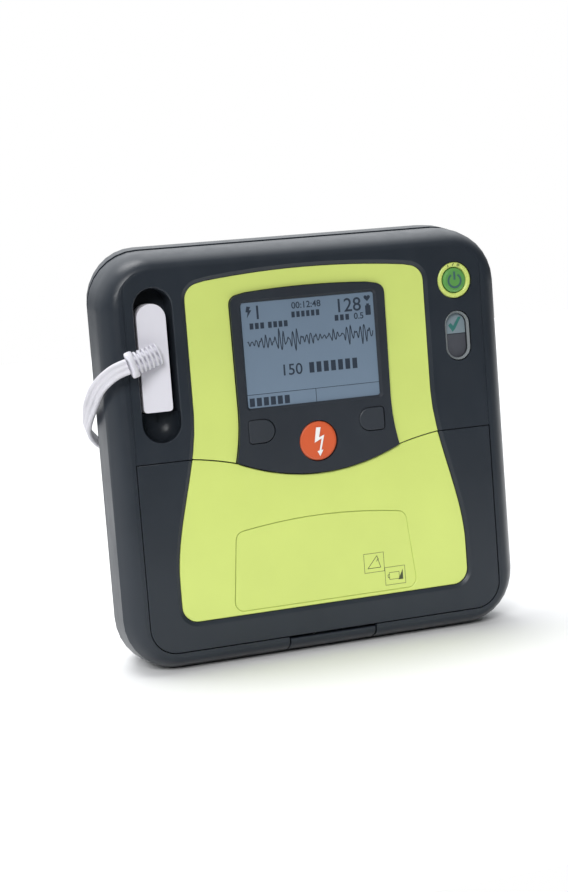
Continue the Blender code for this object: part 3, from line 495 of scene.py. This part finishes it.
def make_camera():
    azimuth, elevation, roll = (math.radians(v) for v in (VIEW_AZIMUTH, VIEW_ELEVATION, VIEW_ROLL))
    reach = math.cos(elevation)
    back = Vector((math.sin(azimuth) * reach, -math.cos(azimuth) * reach, math.sin(elevation)))
    level = Vector((math.cos(azimuth), math.sin(azimuth), 0))
    rise = back.cross(level)
    right = level * math.cos(roll) + rise * math.sin(roll)
    up = rise * math.cos(roll) - level * math.sin(roll)
    camera = bpy.data.objects.new("camera", bpy.data.cameras.new("camera"))
    bpy.context.scene.collection.objects.link(camera)
    turn = Matrix((right, up, back)).transposed().to_4x4()
    spot = (Vector(VIEW_TARGET) + back * VIEW_DISTANCE) * MM
    camera.matrix_world = Matrix.Translation(spot) @ turn
    camera.data.lens = VIEW_LENS
    camera.data.sensor_width = 36.0
    bpy.context.scene.camera = camera


def add_light(name, kind, towards, power, **settings):
    light = bpy.data.lights.new(name, kind)
    light.energy = power
    for key, value in settings.items():
        setattr(light, key, value)
    lamp = bpy.data.objects.new(name, light)
    bpy.context.scene.collection.objects.link(lamp)
    lamp.rotation_euler = Vector(towards).to_track_quat("-Z", "Y").to_euler()
    return lamp


def make_stage():
    """A white room, darker behind the camera and on the right, two soft suns and a pale floor."""
    scene = bpy.context.scene
    scene.view_settings.view_transform = "Standard"
    world = bpy.data.worlds.new("dome")
    scene.world = world
    world.use_nodes = True
    tree = world.node_tree
    tree.nodes.clear()
    out = tree.nodes.new("ShaderNodeOutputWorld")
    dome = tree.nodes.new("ShaderNodeBackground")
    white = tree.nodes.new("ShaderNodeBackground")
    pick = tree.nodes.new("ShaderNodeMixShader")
    rays = tree.nodes.new("ShaderNodeLightPath")
    where = tree.nodes.new("ShaderNodeTexCoord")
    split = tree.nodes.new("ShaderNodeSeparateXYZ")
    tree.links.new(where.outputs["Generated"], split.inputs[0])
    level = None
    for axis, low, high, dim, bright in DOME:
        ramp = tree.nodes.new("ShaderNodeMapRange")
        tree.links.new(split.outputs[axis], ramp.inputs["Value"])
        for key, value in (("From Min", low), ("From Max", high), ("To Min", dim), ("To Max", bright)):
            ramp.inputs[key].default_value = value
        if level is None:
            level = ramp.outputs[0]
            continue
        product = tree.nodes.new("ShaderNodeMath")
        product.operation = "MULTIPLY"
        tree.links.new(level, product.inputs[0])
        tree.links.new(ramp.outputs[0], product.inputs[1])
        level = product.outputs[0]
    tree.links.new(level, dome.inputs["Strength"])
    dome.inputs["Color"].default_value = (0.95, 0.975, 1.0, 1.0)
    white.inputs["Color"].default_value = (1.0, 1.0, 1.0, 1.0)
    white.inputs["Strength"].default_value = 1.0
    tree.links.new(rays.outputs["Is Camera Ray"], pick.inputs[0])
    tree.links.new(dome.outputs[0], pick.inputs[1])
    tree.links.new(white.outputs[0], pick.inputs[2])
    tree.links.new(pick.outputs[0], out.inputs["Surface"])
    for name, towards, power, spread in SUNS:
        add_light(name, "SUN", towards, power, angle=math.radians(spread))
    bm = bmesh.new()
    x0, y0, x1, y1 = FLOOR
    bm.faces.new([bm.verts.new((x, y, 0)) for x, y in ((x0, y0), (x1, y0), (x1, y1), (x0, y1))])
    floor = bpy.data.objects.new("floor", mesh_from(bm, "floor"))
    scene.collection.objects.link(floor)
    paper = Shader("floor_paper", (0.80, 0.80, 0.80), 0.9)
    paper.paint(paper.blend(paper.noise(400.0), (0.795, 0.795, 0.795), (0.805, 0.805, 0.805)))
    floor.data.materials.append(paper.material)


# ---------------------------------------------------------------- electrode lead


def smooth_route(points, spacing):
    """Points about spacing apart along a smooth curve through these points."""
    points = [Vector(point) for point in points]
    ends = [2 * points[0] - points[1], *points, 2 * points[-1] - points[-2]]
    route = []
    for a, b, c, d in zip(ends, ends[1:], ends[2:], ends[3:]):
        steps = max(2, round((c - b).length / spacing))
        for step in range(steps):
            t = step / steps
            bend = (2 * a - 5 * b + 4 * c - d) * t * t
            twist = (3 * b - a - 3 * c + d) * t**3
            route.append(0.5 * (2 * b + (c - a) * t + bend + twist))
    route.append(points[-1])
    return route


def lead_line():
    """The lead's centreline and, for each point, a direction across its broad side."""
    height = COIL_PITCH * COIL_SWEEP / 360
    coil = []
    inward = []
    steps = round(COIL_SWEEP / COIL_STEP)
    for i in range(steps + 1):
        angle = math.radians(COIL_FROM - COIL_SWEEP * i / steps)
        out = Vector((math.cos(angle), math.sin(angle), 0))
        level = COIL_LOW + height * (1 - i / steps)
        coil.append(Vector((*COIL_AT, level)) + out * COIL_R)
        inward.append(-out)
    hanging = smooth_route([*LEAD_ROUTE, coil[0]], ROUTE_SPACING)[:-1]
    facing = []
    travelled = 0.0
    for i, point in enumerate(hanging):
        if i:
            travelled += (point - hanging[i - 1]).length
        share = min(max((travelled - LEAD_FACES_FOR) / LEAD_TURNS_OVER, 0.0), 1.0)
        share = share * share * (3 - 2 * share)
        facing.append(FACES_VIEWER.lerp(inward[0], share).normalized())
    tail = smooth_route([coil[-1], *TAIL_ROUTE], ROUTE_SPACING)[1:]
    line = hanging + coil + tail
    return line, facing + inward + [inward[-1]] * len(tail)


def lead_section():
    """The flat lead's outline across its width: three round cores side by side in one jacket."""
    core = LEAD_WIDTH / 6
    top = [(-3 * core, 0.0)]
    for middle in (-2 * core, 0.0, 2 * core):
        for angle in (150, 122, 90, 58, 30):
            across = middle + core * math.cos(math.radians(angle))
            top.append((across, LEAD_CORE_RISE * core * math.sin(math.radians(angle))))
    top.append((3 * core, 0.0))
    return top + [(across, -high) for across, high in reversed(top[1:-1])]


def make_lead():
    line, facing = lead_line()
    section = lead_section()
    rings = []
    for i, point in enumerate(line):
        before, after = line[max(i - 1, 0)], line[min(i + 1, len(line) - 1)]
        along = (after - before).normalized()
        across = along.cross(facing[i]).normalized()
        through = across.cross(along)
        rings.append([point + across * a + through * b for a, b in section])
    lead = place("electrode_lead", loft("electrode_lead", rings, smooth=75.0), "root", "lead_jacket")
    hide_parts("lead", "lead_coil", "lead_tail")
    pouch = make_pouch()


def make_pouch():
    """The pads pouch: a filled film bag with crimped, slightly wavy seams round its edge."""
    low, high = node_box("pads_pouch")
    columns, rows, seam = 44, 44, 8.0
    middle = (low + high) / 2
    half = (high - low) / 2
    bm = bmesh.new()
    sheets = []
    for side in (1, -1):
        grid = []
        for j in range(rows + 1):
            row = []
            for i in range(columns + 1):
                u, v = 2 * i / columns - 1, 2 * j / rows - 1
                x, y = middle.x + half.x * u, middle.y + half.y * v
                inside = min(half.x * (1 - abs(u)), half.y * (1 - abs(v))) - seam
                swell = min(max(inside / 16.0, 0.0), 1.0)
                swell = math.sin(swell * math.pi / 2) ** 0.8
                pads = 0.5 + 0.5 * math.tanh(6 * (0.62 - max(abs(u * 1.15), abs(v) * 1.1)))
                ripple = 0.16 * math.sin(i * 1.1) * math.sin(j * 1.3) * swell
                crimp = 0.12 * math.sin(max(-inside, 0.0) * 2.4)
                rise = side * (0.25 + swell * (2.2 + 1.35 * pads) + ripple) + crimp
                row.append((x, y, middle.z - 0.2 + rise))
            grid.append(row)
        sheets.append(grid)
    top, bottom = [[[bm.verts.new(Vector(p) * MM) for p in row] for row in sheet] for sheet in sheets]
    for sheet in (top, bottom):
        for j in range(rows):
            for i in range(columns):
                bm.faces.new((sheet[j][i], sheet[j][i + 1], sheet[j + 1][i + 1], sheet[j + 1][i]))
    rim = [(0, i) for i in range(columns)] + [(j, columns) for j in range(rows)]
    rim += [(rows, columns - i) for i in range(columns)] + [(rows - j, 0) for j in range(rows)]
    for (j0, i0), (j1, i1) in zip(rim, rim[1:] + rim[:1]):
        bm.faces.new((top[j0][i0], top[j1][i1], bottom[j1][i1], bottom[j0][i0]))
    mesh = mesh_from(bm, "pads_pouch_film", 50.0)
    pouch = place("pads_pouch_film", mesh, "root", "pouch_film", ["pads_pouch"])
    return pouch


# ---------------------------------------------------------------- plug and boot

BOOT_FROM = Vector((-87.4, -37.0, 176.2))
BOOT_TO = Vector((-106.7, -46.2, 171.6))
BOOT_UP = Vector((-0.33, 0, 1)).normalized()
BOOT_RIBS = 6
BOOT_SIZE = (6.2, 4.7)  # half height and half depth of its ribs
COLLAR = 3.6
COLLAR_SIZE = (7.4, 4.9)
COLLAR_BULGE = 2.2


def boot_ring(at, high, deep, slot_depth=0.0, bulge=0.0, steps=36):
    """An oval ring of the boot, with a notch in the middle of its front and back where slot_depth isn't 0.
    The bulge pushes its two ends out along the boot, in millimetres, so that a collar gets lobes."""
    along = (BOOT_TO - BOOT_FROM).normalized()
    ring = []
    for step in range(steps):
        angle = 2 * math.pi * step / steps
        lobe = bulge * math.cos(angle) ** 4
        notch = slot_depth * math.exp(-((math.cos(angle) / 0.3) ** 2))
        depth = deep * math.sin(angle) * (1 - notch)
        centre = BOOT_FROM + along * (at + lobe)
        ring.append(centre + BOOT_UP * (high * math.cos(angle)) + Vector((0, depth, 0)))
    return ring


def make_boot():
    """The ribbed strain relief: six soft ribs with slots between them, then an oval collar."""
    length = (BOOT_TO - BOOT_FROM).length
    pitch = (length - COLLAR) / BOOT_RIBS
    shape = ((0.0, 0.86, 0.0), (0.08, 0.97, 0.0), (0.2, 1.0, 0.0), (0.42, 1.0, 0.0), (0.54, 0.97, 0.0))
    shape += ((0.62, 0.84, 0.1), (0.66, 0.72, 0.8), (0.80, 0.70, 0.9), (0.94, 0.72, 0.8))
    rings = []
    for rib in range(BOOT_RIBS):
        for share, size, slot_depth in shape:
            high, deep = BOOT_SIZE[0] * size, BOOT_SIZE[1] * size
            rings.append(boot_ring((rib + share) * pitch, high, deep, slot_depth))
    start = length - COLLAR
    for share, size in ((0.0, 0.8), (0.08, 0.94), (0.25, 1.0), (0.75, 1.0), (0.92, 0.95), (1.0, 0.8)):
        high, deep = COLLAR_SIZE[0] * size, COLLAR_SIZE[1] * size
        rings.append(boot_ring(start + share * COLLAR, high, deep, bulge=COLLAR_BULGE * (share - 0.5)))
    mesh = loft("boot", rings, smooth=50.0)
    boot = place("strain_relief_boot", mesh, "pads_plug", "white_plastic", ["strain_relief"])
    face = node_box("pads_connector")[0].y - 0.05
    bm = bmesh.new()
    bmesh.ops.create_cube(bm, size=40 * MM)
    bmesh.ops.translate(bm, vec=Vector((BOOT_FROM.x, face + 20, BOOT_FROM.z)) * MM, verts=bm.verts)
    add_cut(boot, mesh_from(bm, "boot_cut"))
    boot.data.shade_smooth()
    boot.data.set_sharp_from_angle(angle=math.radians(50))
    return boot


# ---------------------------------------------------------------- screen, keys and symbols


def make_bezel():
    """The screen bezel with a sloped edge round its window."""
    window = node_box("display_window")
    x0, z0, x1, z1 = window[0].x + 2.2, window[0].z + 1.8, window[1].x - 2.2, window[1].z - 1.8
    face = node_box("screen_bezel")[0].y
    rings = []
    for y, by in ((face - 0.5, 1.75), (face, 1.4), (face + 1.5, 0.0), (face + 1.7, 0.0)):
        outline = rounded(x0 - by, z0 - by, x1 + by, z1 + by, 1.5 + by, 5)
        rings.append([(x, y, z) for x, z in outline])
    rounded_copy("screen_bezel", "bezel_plastic", 0.4, cuts=[loft("window_slope", rings)])


def trace(x):
    """The wavy line on the screen, from a few sines."""
    swell = 0.72 + 0.28 * math.sin(0.13 * x + 3.4) + 0.3 * math.sin(0.61 * x)
    return swell * (3.7 * math.sin(2.35 * x) + 1.9 * math.sin(3.13 * x + 0.7) + 1.0 * math.sin(4.9 * x + 2.0))


def heart(x, z, size, steps=20):
    points = []
    for i in range(steps + 1):
        t = 2 * math.pi * i / steps
        across = 16 * math.sin(t) ** 3
        up = 13 * math.cos(t) - 5 * math.cos(2 * t) - 2 * math.cos(3 * t) - math.cos(4 * t)
        points.append((x + across * size / 32, z + up * size / 32))
    return points[:-1]


def make_screen():
    """What the display shows: figures, a wavy trace, bars and small symbols, as thin dark shapes."""
    low, high = node_box("display_window")
    y = low.y - 0.02
    ink = bpy.data.materials["display_ink"]
    x0, x1 = low.x + 4.8, high.x - 3.6
    steps = 330
    wave = []
    for i in range(steps + 1):
        x = x0 + (x1 - x0) * i / steps
        wave.append((x, 176.5 + 0.92 * trace(x)))
    place("display_trace", line_work("display_trace", [wave], 0.62, y), "root", "screen_window", material=ink)
    words = [("1", -32.2, 189.6, 7.4), ("00:12:48", -9.6, 193.6, 3.5), ("0.5", 27.0, 184.6, 3.4)]
    words += [("128", 15.9, 189.2, 7.4), ("150", -18.6, 157.2, 6.0)]
    place("display_figures", figures("display_figures", words, y), "root", "screen_window", material=ink)
    bolt = [(-35.6, 197.0), (-33.4, 196.6), (-34.4, 194.9), (-33.0, 194.7)]
    bolt += [(-35.8, 190.6), (-35.1, 193.7), (-36.4, 193.9)]
    shapes = [bolt, heart(35.6, 195.8, 3.9)]
    cell = [(34.2, 186.2), (37.4, 186.2), (37.4, 191.6), (36.6, 191.6)]
    cell += [(36.6, 192.6), (35.0, 192.6), (35.0, 191.6), (34.2, 191.6)]
    shapes.append(cell)
    for i in range(7):
        shapes.append(bar(-34.6 + i * 3.1 + (1.4 if i > 2 else 0.0), 184.2, 2.1, 3.3))
        shapes.append(bar(-1.6 + i * 4.3, 157.2, 2.8, 5.8))
    for i in range(6):
        shapes.append(bar(-9.8 + i * 2.9, 188.7, 1.9, 3.2))
        shapes.append(bar(-38.0 + i * 4.1, 141.7, 2.9, 4.6))
    for i in range(3):
        shapes.append(bar(15.6 + i * 3.2, 184.6, 2.1, 3.2))
    mesh = filled("display_symbols", shapes, y - 0.08, y + 0.04)
    place("display_symbols", mesh, "root", "screen_window", material=ink)
    rules = [[(low.x + 1.7, 148.2), (high.x - 1.7, 148.2)], [(1.2, 140.6), (1.2, 148.2)]]
    place("display_rules", line_work("display_rules", rules, 0.34, y), "root", "screen_window", material=ink)


def bar(x, z, width, height):
    return [(x, z), (x + width, z), (x + width, z + height), (x, z + height)]


def make_door_icons():
    """The two boxed symbols on the door's label: an open lid, and a battery."""
    y = node_box("door_label")[0].y
    x0, z0, x1, z1 = 22.4, 40.3, 34.5, 51.2
    lid = [(x0 + 2.0, z0 + 2.4), (x1 - 2.2, z0 + 2.4)]
    flap = [(x0 + 2.0, z0 + 2.4), (x0 + 8.0, z1 - 1.6)]
    strut = [(x0 + 8.0, z1 - 1.6), (x1 - 2.2, z0 + 2.4)]
    swing = [(x1 - 3.2, z0 + 7.6), (x1 - 4.6, z0 + 6.0)]
    a0, b0, a1, b1 = 34.7, 31.8, 47.0, 42.0
    cell = [(a0 + 2.6, b0 + 3.0), (a0 + 8.6, b0 + 3.0), (a0 + 8.6, b1 - 3.2), (a0 + 2.6, b1 - 3.2)]
    cell.append(cell[0])
    cap = [(a0 + 2.6, b0 + 3.8), (a0 + 1.7, b0 + 4.4), (a0 + 1.7, b1 - 4.6), (a0 + 2.6, b1 - 4.0)]
    boxes = [frame_line(x0, z0, x1, z1), frame_line(a0, b0, a1, b1)]
    lines = [*boxes, lid, flap, strut, swing, cell, cap]
    icons = line_work("door_icons", lines, 0.42, y)
    place("door_icons", icons, "battery_door", "lime_plastic", material=bpy.data.materials["icon_ink"])
    wedge = [[(a1 - 4.4, b0 + 2.4), (a1 - 1.4, b0 + 2.4), (a1 - 1.4, b1 - 2.0)]]
    solid = filled("door_icon_wedge", wedge, y - 0.05, y + 0.02)
    place("door_icon_wedge", solid, "battery_door", "lime_plastic", material=bpy.data.materials["icon_ink"])


def frame_line(x0, z0, x1, z1):
    return [(x0, z0), (x1, z0), (x1, z1), (x0, z1), (x0, z0)]


def make_shock_symbol():
    """A white bolt with an arrow head, on the orange key."""
    x, z = 0.0, (node_box("shock_button")[0].z + node_box("shock_button")[1].z) / 2
    bolt = [(-1.0, 7.6), (-2.5, -0.9), (1.8, 1.1), (0.1, -5.5), (-1.2, -5.8), (0.3, -8.7)]
    bolt += [(2.4, -5.2), (1.2, -5.3), (3.5, 3.1), (0.3, 1.8), (1.7, 7.4)]
    low, high = node_box("shock_symbol")
    mesh = filled("shock_bolt", [[(x + a, z + b) for a, b in bolt]], low.y + 0.1, high.y)
    ink = bpy.data.materials["white_ink"]
    bolt_piece = place("shock_bolt", mesh, "shock_key", "white_plastic", ["shock_symbol"], ink)
    add_bevel(bolt_piece, 0.05, segments=1)


def make_power_symbol():
    low, high = node_box("power_button")
    x, z = (low.x + high.x) / 2, (low.z + high.z) / 2
    circle = arc((x, z - 0.3), 3.8, 122, 418, 28)
    stem = [(x, z + 0.2), (x, z + 4.9)]
    ink = bpy.data.materials["power_ink"]
    symbol = line_work("power_symbol", [circle, stem], 1.3, low.y, 0.16)
    place("power_symbol", symbol, "power_key", "power_key", material=ink)
    ring = node_box("power_ring")[0].y
    reach = 8.85  # middle of the ring's face
    marks = []
    for degrees, kind in ((112, "bar"), (91, "slash"), (70, "nought")):
        turn = math.radians(degrees)
        middle = Vector((x + reach * math.cos(turn), z + reach * math.sin(turn)))
        if kind == "nought":
            marks.append(arc(middle, 0.62, 0, 360, 14))
            marks[-1][-1] = marks[-1][0]
        else:
            lean = Vector((0.45, 0.75)) if kind == "slash" else Vector((0, 0.75))
            marks.append([tuple(middle - lean), tuple(middle + lean)])
    drawn = line_work("power_marks", marks, 0.55, ring, 0.25)
    place("power_marks", drawn, "root", "lime_plastic", material=bpy.data.materials["icon_ink"])


def ring_of(name, profile, box):
    """A capsule-shaped ring with this closed profile of (y, inset)."""
    x0, z0, x1, z1 = box
    bm = bmesh.new()
    loops = []
    for y, inset in profile:
        outline = capsule(x0 + inset, z0 + inset, x1 - inset, z1 - inset)
        loops.append([bm.verts.new(Vector((x, y, z)) * MM) for x, z in outline])
    for near, far in zip(loops, loops[1:] + loops[:1]):
        for i in range(len(near)):
            j = (i + 1) % len(near)
            bm.faces.new((near[i], near[j], far[j], far[i]))
    return mesh_from(bm, name, 30.0)


def make_ready_window():
    """The capsule window: a sloped rim, and sunk behind it a pale flag with a check mark over a dark flag."""
    low, high = node_box("ready_window")
    slope = 1.5
    x0, z0, x1, z1 = low.x, low.z, high.x, high.z
    floor_y = node_box("ready_indicator")[0].y - 0.1
    outer_wall = ((floor_y, 0.1), (low.y + 0.5, 0.1))
    lip = ((low.y - 0.1, 0.4), (low.y - 0.1, 0.6), (low.y + 1.3, slope))
    rim = (*outer_wall, *lip, (low.y + 1.5, slope), (low.y + 1.5, 0.5))
    wall = ((low.y + 1.6, slope), (floor_y, slope), (floor_y, 0.5), (low.y + 1.6, 0.5))
    # The rim piece wears the pale grey of a painted highlight.
    pieces = (("ready_window_rim", rim, "ready_rim"), ("ready_window_wall", wall, "ready_wall"))
    for name, profile, look in pieces:
        mesh = ring_of(name, profile, (x0, z0, x1, z1))
        replaced = ["ready_window"] if look == "ready_rim" else []
        place(name, mesh, "root", "screen_window", replaced, bpy.data.materials[look])
    inner = slope + 0.03
    radius = (x1 - x0) / 2 - inner
    middle_x, middle_z = (x0 + x1) / 2, (z0 + z1) / 2 + 0.9
    face = low.y + 3.2
    crown = arc((middle_x, z1 - inner - radius), radius, 0, 180, 16)
    upper = [*crown, (x0 + inner, middle_z + 0.15), (x1 - inner, middle_z + 0.15)]
    keel = arc((middle_x, z0 + inner + radius), radius, 180, 360, 16)
    lower = [*keel, (x1 - inner, middle_z - 0.15), (x0 + inner, middle_z - 0.15)]
    flags = (("ready_flag", upper, "ready_upper"), ("ready_shutter", lower, "ready_lower"))
    for name, outline, look in flags:
        mesh = filled(name, [outline], face, face + 0.8)
        add_bevel(place(name, mesh, "root", "screen_window", material=bpy.data.materials[look]), 0.15)
    a, b = middle_x - 0.2, middle_z + 5.2
    tick = [(-4.0, -0.2), (-1.5, -4.0), (0.1, -2.6), (4.2, 4.0), (2.5, 4.4), (-0.9, -0.6), (-2.4, 1.1)]
    mesh = filled("ready_check", [[(a + x, b + z) for x, z in tick]], face - 0.08, face + 0.1)
    place("ready_check", mesh, "root", "screen_window", material=bpy.data.materials["check_ink"])


SCOOP_AT = (-88.85, 138.25)
SCOOP_R = 10.6
SCOOP_Y = (-36.6, -27.2)  # its rim and its deepest point


def make_scoop():
    """The rounded finger hollow below the plug, which lines the lower end of its recess."""
    plug_low = node_box("pads_connector")[0]
    centre_x, centre_z = SCOOP_AT
    rim_y, floor_y = SCOOP_Y
    top = plug_low.z - 0.4
    rows = 12
    rings = []
    for k in range(rows + 1):
        reach = SCOOP_R * math.cos(math.pi / 2 * k / rows * 0.985)
        y = rim_y + (floor_y - rim_y) * math.sin(math.pi / 2 * k / rows)
        low_arc = arc((centre_x, centre_z), reach, 180, 360, 20)
        low_end = [(x, y, z) for x, z in low_arc]
        rings.append([(centre_x - reach, y, top), *low_end, (centre_x + reach, y, top)])
    bm = bmesh.new()
    loops = [[bm.verts.new(Vector(point) * MM) for point in ring] for ring in rings]
    for near, far in zip(loops, loops[1:]):
        for i in range(len(near) - 1):
            bm.faces.new((near[i], near[i + 1], far[i + 1], far[i]))
    bm.faces.new(loops[-1])
    bmesh.ops.solidify(bm, geom=bm.faces[:], thickness=0.35 * MM)
    place("finger_scoop", mesh_from(bm, "finger_scoop", 60.0), "root", "case_plastic")


# ---------------------------------------------------------------- pieces

ROUNDED = (  # node, material slot, edge radius in mm
    ("front_shell", "case_plastic", 0.35),
    ("rear_shell", "case_plastic", 0.5),
    ("upper_panel", "lime_plastic", 0.6),
    ("door", "case_plastic", 0.35),
    ("door_panel", "lime_plastic", 0.6),
    ("door_label", "lime_plastic", 0.12),
    ("latch_tab", "case_plastic", 0.4),
    ("softkey_left", "key_rubber", 0.6),
    ("softkey_right", "key_rubber", 0.6),
    ("power_ring", "lime_plastic", 0.8),
    ("pads_connector", "white_plastic", 0.4),
    ("pads_socket", "inner_plastic", 0.3),
    ("hinge_arm_left", "inner_plastic", 0.4),
    ("hinge_arm_right", "inner_plastic", 0.4),
    ("battery_well", "inner_plastic", 0.4),
    ("battery_pack", "battery_case", 0.6),
    ("charging_transformer", "winding", 0.8),
    ("relay_module", "battery_case", 0.6),
    ("speaker", "inner_plastic", 0.8),
    ("hv_capacitor", "sheet_aluminium", 1.2),
    ("battery_contacts", "contact_metal", 0.3),
    ("display_module", "display", 0.3),
    ("keypad_mat", "seal_rubber", 0.3),
    ("ready_indicator", "inner_plastic", 0.3),
)
REPAINTED = (
    ("seal_gasket", "seal_rubber"),
    ("door_seal", "seal_rubber"),
    ("display_window", "screen_window"),
    ("shock_button", "shock_key"),
    ("power_button", "power_key"),
    ("latch_spring_1", "steel"),
    ("latch_spring_2", "steel"),
    ("chassis", "sheet_aluminium"),
    ("main_board", "circuit_board"),
    ("display_board", "circuit_board"),
    ("switch_board", "circuit_board"),
    *((f"case_screw_{i}", "steel") for i in range(1, 5)),
    *((f"rear_foot_{i}", "seal_rubber") for i in range(1, 5)),
)

make_plastics()
make_metals()
make_board()
make_display()
make_prints()
make_film()
make_camera()
make_stage()
for node, slot, width in ROUNDED:
    rounded_copy(node, slot, width)
for node, slot in REPAINTED:
    repaint(node, slot)
make_boot()
make_lead()
make_bezel()
make_screen()
make_door_icons()
make_shock_symbol()
make_power_symbol()
make_ready_window()
make_scoop()
